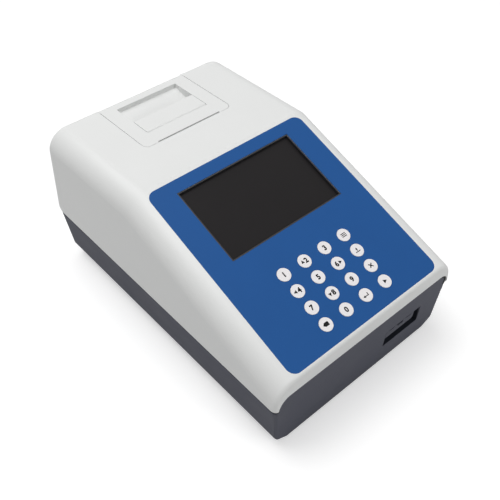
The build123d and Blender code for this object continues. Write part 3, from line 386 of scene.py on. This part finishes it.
# ---- painted shade: a black rubber strip that stands in the gap along both sides of the door --------
DOOR_FRONT_Y = 63.0
HINGE_Y = 120.0
DOOR_SHADE_X = 41.4
DOOR_SHADE_WIDTH = 0.26
DOOR_SHADE_DEPTH = 2.4
DOOR_SHADE_LEVEL = 0.08
door_shade_strips = [((side * DOOR_SHADE_X - DOOR_SHADE_WIDTH / 2, DOOR_FRONT_Y, TOP_Z - DOOR_SHADE_DEPTH),
                (side * DOOR_SHADE_X + DOOR_SHADE_WIDTH / 2, HINGE_Y, TOP_Z - DOOR_SHADE_LEVEL)) for side in (-1, 1)]
# Painted shade: black strips in the seams beside the door, so that the seams read dark.
piece("door_side_painted_shade", block_mesh("door_side_painted_shade", door_shade_strips), "case", rubber)

# ---- painted shade: a dark band in the gap between the cover's lip and the front panel, along the arch ---
ARCH_HALF = 86.0
ARCH_TOP_Z = 62.87
ARCH_RADIUS = 10.0
PANEL_LEAN = math.radians(4.25)
PANEL_SET_BACK = 0.8
LIP_SHADE_LOW_Z = 49.0
LIP_SHADE_GAP = 0.05
LIP_SHADE_WIDTH = 1.9
LIP_SHADE_PROUD = 0.15
LIP_SHADE_SUNK = 0.6


def lip_shade_mesh():
    """A dark band of painted shade along the arch that lies against the leaning front panel."""
    # Each point of the arch has its place and the direction that points inwards from it.
    arch = [(-ARCH_HALF, LIP_SHADE_LOW_Z, 1, 0)]
    centre_z = ARCH_TOP_Z - ARCH_RADIUS
    for side, start in ((-1, 180), (1, 90)):
        centre_x = side * (ARCH_HALF - ARCH_RADIUS)
        for i in range(CORNER_STEPS + 1):
            turn = math.radians(start - 90 * i / CORNER_STEPS)
            arch.append((centre_x + ARCH_RADIUS * math.cos(turn), centre_z + ARCH_RADIUS * math.sin(turn),
                         -math.cos(turn), -math.sin(turn)))
    arch.append((ARCH_HALF, LIP_SHADE_LOW_Z, -1, 0))
    section = ((LIP_SHADE_GAP, -LIP_SHADE_PROUD), (LIP_SHADE_WIDTH, -LIP_SHADE_PROUD),
               (LIP_SHADE_WIDTH, LIP_SHADE_SUNK), (LIP_SHADE_GAP, LIP_SHADE_SUNK))
    shape = bmesh.new()
    rings = []
    for x, z, inward_x, inward_z in arch:
        ring = []
        for inset, depth in section:
            at_x = x + inward_x * inset
            at_z = z + inward_z * inset
            at_y = FRONT_Y + PANEL_SET_BACK + (ARCH_TOP_Z - at_z) * math.tan(PANEL_LEAN) + depth
            ring.append(shape.verts.new((at_x * MM, at_y * MM, at_z * MM)))
        rings.append(ring)
    for ring, following in zip(rings, rings[1:]):
        for i in range(len(section)):
            j = (i + 1) % len(section)
            shape.faces.new((ring[i], ring[j], following[j], following[i]))
    shape.faces.new(rings[0])
    shape.faces.new(rings[-1][::-1])
    bmesh.ops.recalc_face_normals(shape, faces=shape.faces)
    return mesh_of(shape, "lip_painted_shade")


# Painted shade: a dark band under the lip, so that the seam reads as a dark line.
piece("lip_painted_shade", lip_shade_mesh(), "case", rubber)

# ---- printed legends on the keys -----------------------------------------------------------------
# The keys' rows are counted down the slope from the break, and their columns from the left.
KEY_PITCH_ACROSS = 19.5
KEY_PITCH_DOWN = 14.7
KEY_FIRST_DOWN = 104.6
KEY_MIDDLE_COLUMN = 2.5
KEY_PROUD = 0.2

# A digit is a thin one, copied this often on a small circle so that its strokes get bold.
DIGIT_HEIGHT = 3.8
DIGIT_SHARE_OF_FONT = 0.72
STROKE_SPREAD = 0.23
STROKE_COPIES = 8
INK_DEPTH = 0.03

# A triangle's size, the angle from its tip to its other corners, and where it stands beside a digit.
ARROW_SIZE = 1.65
ARROW_SPREAD = math.radians(125)
ARROW_SHIFT = 1.9
DIGIT_SHIFT = 1.3


def key_centre(row, column):
    """Middle of a key's face, in millimetres."""
    across = (column - KEY_MIDDLE_COLUMN) * KEY_PITCH_ACROSS
    down = KEY_FIRST_DOWN + (row - 1) * KEY_PITCH_DOWN
    return Vector((0, BREAK_Y, TOP_Z)) + ACROSS * across - UP_SLOPE * down + OUT_OF_SLOPE * KEY_PROUD


def on_key(kind, place, mesh):
    """Lay a flat print, drawn in millimetres with +Y up the slope, on the key at a row and column."""
    row, column = place
    lay(mesh, key_centre(row, column), UP_SLOPE, OUT_OF_SLOPE)
    piece(f"{kind}_{row}_{column}", mesh, f"key_{row}_{column}", ink)


def digit_mesh(digit, shift):
    """A bold digit as a thin solid in millimetres, its middle moved sideways from the origin."""
    curve = bpy.data.curves.new("character", "FONT")
    curve.body = digit
    curve.size = DIGIT_HEIGHT / DIGIT_SHARE_OF_FONT
    curve.extrude = INK_DEPTH / 2
    curve.align_x = "CENTER"
    obj = new_object("character", curve)
    thin = evaluated_mesh(obj)
    bpy.data.objects.remove(obj)
    corners = [v.co for v in thin.vertices]
    middle = [(min(c[i] for c in corners) + max(c[i] for c in corners)) / 2 for i in (0, 1)]
    thin.transform(Matrix.Translation((-middle[0], -middle[1], INK_DEPTH / 2)))
    shape = bmesh.new()
    for i in range(STROKE_COPIES):
        turn = math.radians(360 / STROKE_COPIES * i)
        copy = thin.copy()
        offset = (STROKE_SPREAD * math.cos(turn), STROKE_SPREAD * math.sin(turn), 0)
        copy.transform(Matrix.Translation(offset))
        shape.from_mesh(copy)
        bpy.data.meshes.remove(copy)
    shape.to_mesh(thin)
    shape.free()
    thin.transform(Matrix.Translation((shift, 0, 0)))
    return thin


def bar_outline(x0, y0, x1, y1):
    """A rectangle between two opposite corners."""
    return [(x0, y0), (x1, y0), (x1, y1), (x0, y1)]


def arrow_outline(x, y, angle, size=ARROW_SIZE):
    """A filled triangle round a point, whose tip points at an angle in degrees."""
    tip = math.radians(angle)
    corners = (tip, tip + ARROW_SPREAD, tip - ARROW_SPREAD)
    return [(x + size * math.cos(t), y + size * math.sin(t)) for t in corners]


def turned(outline, angle):
    """An outline turned about the origin by an angle in degrees."""
    t = math.radians(angle)
    return [(x * math.cos(t) - y * math.sin(t), x * math.sin(t) + y * math.cos(t)) for x, y in outline]


# Four digits share their key with an arrow: its side, where -1 is left, and where it points in degrees.
arrows = {(1, 2): (-1, 90), (2, 1): (-1, 180), (2, 3): (1, 0), (3, 2): (-1, 270)}
for row, digits in enumerate(("123", "456", "789", " 0"), start=1):
    for column, digit in enumerate(digits, start=1):
        if digit != " ":
            arrow_side = arrows.get((row, column), (0, 0))[0]
            on_key("legend", (row, column), digit_mesh(digit, -arrow_side * DIGIT_SHIFT))
for place, (side, angle) in arrows.items():
    on_key("arrow", place, prism_mesh([arrow_outline(side * ARROW_SHIFT, 0, angle)], INK_DEPTH))

# The six function keys carry plain signs: bars, a raised arrow, a triangle, a bent arrow, a block arrow
# and a cross.
signs = {
    (1, 4): [bar_outline(-2.2, y, 2.2, y + 0.6) for y in (-1.5, -0.3, 0.9)],
    (2, 4): [bar_outline(-2.2, -1.6, 2.2, -1.0), bar_outline(-0.35, -0.6, 0.35, 0.9),
             arrow_outline(0, 1.2, 90, 1.0)],
    (4, 4): [arrow_outline(0, 0, 0, 1.9)],
    (4, 3): [bar_outline(-1.6, -1.1, 2.0, -0.5), bar_outline(1.4, -0.5, 2.0, 1.3),
             arrow_outline(-1.9, -0.8, 180, 1.2)],
    (4, 1): [[(-2.6, 0), (-1.0, -1.5), (2.3, -1.5), (2.3, 1.5), (-1.0, 1.5)]],
    (3, 4): [turned(bar_outline(-2.1, -0.4, 2.1, 0.4), angle) for angle in (45, -45)],
}
for place, outlines in signs.items():
    on_key("sign", place, prism_mesh(outlines, INK_DEPTH))

# ---- pale webs that round the front corners of the door's bay ----------------------------------------
BAY_HALF = 41.55
BAY_FRONT_Y = 57.04
BAY_CORNER_RADIUS = 5.3
WEB_DEPTH = 2.4
WEB_LEVEL = 0.02
for side, name in ((-1, "bay_corner_left"), (1, "bay_corner_right")):
    centre_x = side * (BAY_HALF - BAY_CORNER_RADIUS)
    centre_y = BAY_FRONT_Y + BAY_CORNER_RADIUS
    corner = [(side * BAY_HALF, BAY_FRONT_Y)]
    for i in range(CORNER_STEPS + 1):
        turn = math.radians(90 * i / CORNER_STEPS)
        corner.append((centre_x + side * BAY_CORNER_RADIUS * math.sin(turn),
                       centre_y - BAY_CORNER_RADIUS * math.cos(turn)))
    mesh = prism_mesh([corner], WEB_DEPTH)
    lay(mesh, (0, 0, TOP_Z - WEB_DEPTH - WEB_LEVEL))
    piece(name, mesh, "case", pale_abs)

# ---- hexagonal threaded posts that hold the nine-way port to the back wall -------------------------
REAR_TILT = math.radians(6.4)
REAR_OUT = Vector((0, math.cos(REAR_TILT), -math.sin(REAR_TILT)))
REAR_UP = Vector((0, math.sin(REAR_TILT), math.cos(REAR_TILT)))
BACK_WALL_Y = 134.37
PORT_AXIS_Z = 36.0
SERIAL_X = 8.0
SERIAL_POST_PITCH = 25.0
POST_LENGTH = 2.4
HEX_ACROSS = 4.8
HEX_SIDES = 6
hex_radius = HEX_ACROSS / math.sqrt(3)
hexagon = [(hex_radius * math.cos(math.radians(360 / HEX_SIDES * i)),
            hex_radius * math.sin(math.radians(360 / HEX_SIDES * i))) for i in range(HEX_SIDES)]
for side, name in ((-1, "port_post_left"), (1, "port_post_right")):
    mesh = prism_mesh([hexagon], POST_LENGTH)
    lay(mesh, (SERIAL_X + side * SERIAL_POST_PITCH / 2, BACK_WALL_Y, PORT_AXIS_Z), REAR_UP, REAR_OUT)
    piece(name, mesh, "case", plated_steel)


# ---- floor, light and camera, all in metres --------------------------------------------------------
def seen_by(tree, kinds):
    """A value that is 1 for the named kinds of ray and 0 for the light on the object."""
    ray = add(tree, "ShaderNodeLightPath")
    seen = ray.outputs[kinds[0]]
    for kind in kinds[1:]:
        larger = add(tree, "ShaderNodeMath", {"operation": "MAXIMUM"}, i0=seen, i1=ray.outputs[kind])
        seen = larger.outputs[0]
    return seen


# A sheet of matt white paper. The camera sees it a little lighter than it is lit, so that it turns white.
FLOOR_REACH = 6.0
SWEEP_GREY = 0.8
SWEEP_ROUGHNESS = 0.9
SWEEP_LIFT = 0.46
floor_corners = [(x * FLOOR_REACH, y * FLOOR_REACH, 0) for x, y in ((-1, -1), (1, -1), (1, 1), (-1, 1))]
floor_mesh = bpy.data.meshes.new("floor")
floor_mesh.from_pydata(floor_corners, [], [(0, 1, 2, 3)])
floor = new_object("floor", floor_mesh)
white_sweep = bpy.data.materials.new("paper_sweep")
white_sweep.use_nodes = True
tree = white_sweep.node_tree
sheet_face = tree.nodes["Principled BSDF"]
sheet_face.inputs["Base Color"].default_value = (SWEEP_GREY, SWEEP_GREY, SWEEP_GREY, 1)
sheet_face.inputs["Roughness"].default_value = SWEEP_ROUGHNESS
seen = seen_by(tree, ("Is Camera Ray", "Is Transmission Ray"))
lift = add(tree, "ShaderNodeMath", {"operation": "MULTIPLY", 1: SWEEP_LIFT}, i0=seen)
glow = add(tree, "ShaderNodeEmission", {"Color": (1, 1, 1, 1)}, Strength=lift.outputs[0])
both = add(tree, "ShaderNodeAddShader", i0=sheet_face.outputs[0], i1=glow.outputs[0])
tree.links.new(both.outputs[0], tree.nodes["Material Output"].inputs["Surface"])
floor_mesh.materials.append(white_sweep)

# The world is white where it is seen, and lights the object softly.
WORLD_LIGHT = 0.26
WORLD_SEEN = 1.0
world = bpy.data.worlds.new("studio")
bpy.context.scene.world = world
world.use_nodes = True
tree = world.node_tree
sky = tree.nodes["Background"]
sky.inputs["Color"].default_value = (1, 1, 1, 1)
seen = seen_by(tree, ("Is Camera Ray", "Is Transmission Ray", "Is Glossy Ray"))
level = add(tree, "ShaderNodeMapRange", {"To Min": WORLD_LIGHT, "To Max": WORLD_SEEN}, Value=seen)
tree.links.new(level.outputs[0], sky.inputs["Strength"])

LAMP_TARGET = Vector((0, 0, 0.05))


def lamp(name, place, size, power):
    """A soft square lamp that faces the middle of the object."""
    data = bpy.data.lights.new(name, "AREA")
    data.shape = "SQUARE"
    data.size = size
    data.energy = power
    obj = new_object(name, data)
    obj.location = place
    obj.rotation_euler = (LAMP_TARGET - Vector(place)).to_track_quat("-Z", "Y").to_euler()


lamp("soft_box_above", place=(-0.25, 0.35, 1.5), size=1.2, power=14.5)
lamp("soft_box_front", place=(0.5, -1.4, 0.9), size=1.0, power=5.5)

# The camera's place, turn and lens come from the fit of the case's edges in the photograph.
camera_data = bpy.data.cameras.new("camera")
camera_data.sensor_width = 36
camera_data.lens = 50.54
camera_data.clip_start = 0.01
camera_data.clip_end = 50
camera = new_object("camera", camera_data)
camera_place = Vector((-0.2569675, -0.3177835, 0.4442226))
right = Vector((0.7537155, -0.6568527, -0.0213885))
down = Vector((-0.4723977, -0.5188602, -0.7124777))
ahead = Vector((0.4568952, 0.5471094, -0.7013687))
camera_turn = Matrix((right, -down, -ahead)).transposed().to_4x4()
camera.matrix_world = Matrix.Translation(camera_place) @ camera_turn
bpy.context.scene.camera = camera
bpy.context.scene.view_settings.view_transform = "Standard"

bpy.context.view_layer.update()
